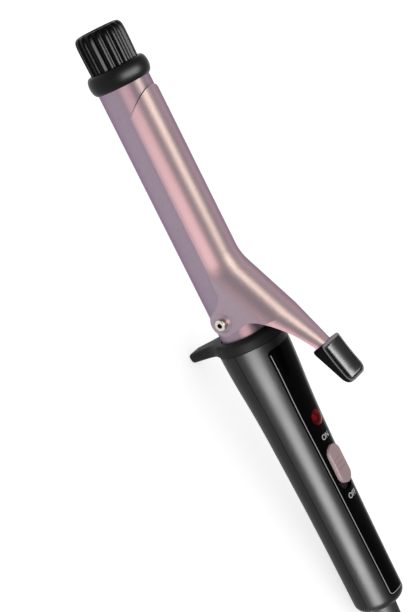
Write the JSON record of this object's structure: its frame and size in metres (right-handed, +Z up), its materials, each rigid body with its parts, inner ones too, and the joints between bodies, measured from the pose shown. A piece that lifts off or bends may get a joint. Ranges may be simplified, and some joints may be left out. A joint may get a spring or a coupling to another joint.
{
  "type": "curling iron",
  "caption": "Spring-clip curling iron with a round barrel, cool tip, thumb lever, rest foot, tapered handle with a slide switch and indicator, and a cord gland.",
  "frame": {"origin": "middle of the rest foot's flat underside, on the floor", "axes": "+Z up, +X along the floor from the cool tip towards the cord gland, +Y across, along the hinge"},
  "size_m": [0.3197, 0.0328, 0.0744],
  "materials": {
    "mauve_coating": "satin",
    "black_gloss": "gloss",
    "black_satin": "satin",
    "grey_black": "satin",
    "mauve_plastic": "satin",
    "red_lens": "gloss",
    "nickel": "polished",
    "steel": "satin",
    "bare_aluminium": "satin",
    "ceramic_plate": "matte",
    "board_laminate": "satin",
    "copper_lead": "satin",
    "black_rubber": "matte"
  },
  "bodies": {
    "iron": {"barrel_tube": "mauve_coating", "tip_collar": "black_satin", "tip_knob": "black_gloss", "tip_cap": "black_satin", "tip_plug": "black_satin", "tip_screw": "steel", "heater_shoe_upper": "bare_aluminium", "heater_shoe_lower": "bare_aluminium", "heater_element": "ceramic_plate", "thermal_fuse": "bare_aluminium", "hinge_bracket": "bare_aluminium", "hinge_screws": "nickel", "hinge_washers": "nickel", "stand_ring": "black_satin", "handle_upper_shell": "black_gloss", "handle_lower_shell": "grey_black", "handle_screws": "steel", "switch_panel": "black_gloss", "indicator_lens": "red_lens", "indicator_led": "red_lens", "switch_body": "black_satin", "control_board": "board_laminate", "board_screws": "steel", "cord_clamp": "steel", "clamp_screws": "steel", "lead_wires": "copper_lead", "cord_gland": "black_rubber"},
    "clip": {"clamp_blade": "mauve_coating", "thumb_rest": "black_gloss", "clip_spring": "steel", "spring_stud": "steel"},
    "switch": {"switch_knob": "mauve_plastic", "switch_actuator": "black_satin"}
  },
  "joints": [
    {"name": "clip_hinge", "type": "hinge", "parent": "iron", "child": "clip", "pos_m": [-0.00909, 0, 0.03606], "axis": [0, 1, 0], "range_deg": [0, 28], "stiffness_Nm_per_rad": 0.6, "springref_deg": -9.74, "deforming": ["clip_spring"]},
    {"name": "switch_slide", "type": "slide", "parent": "iron", "child": "switch", "axis": [0.9878, 0, -0.1559], "range_m": [0, 0.003]}
  ]
}
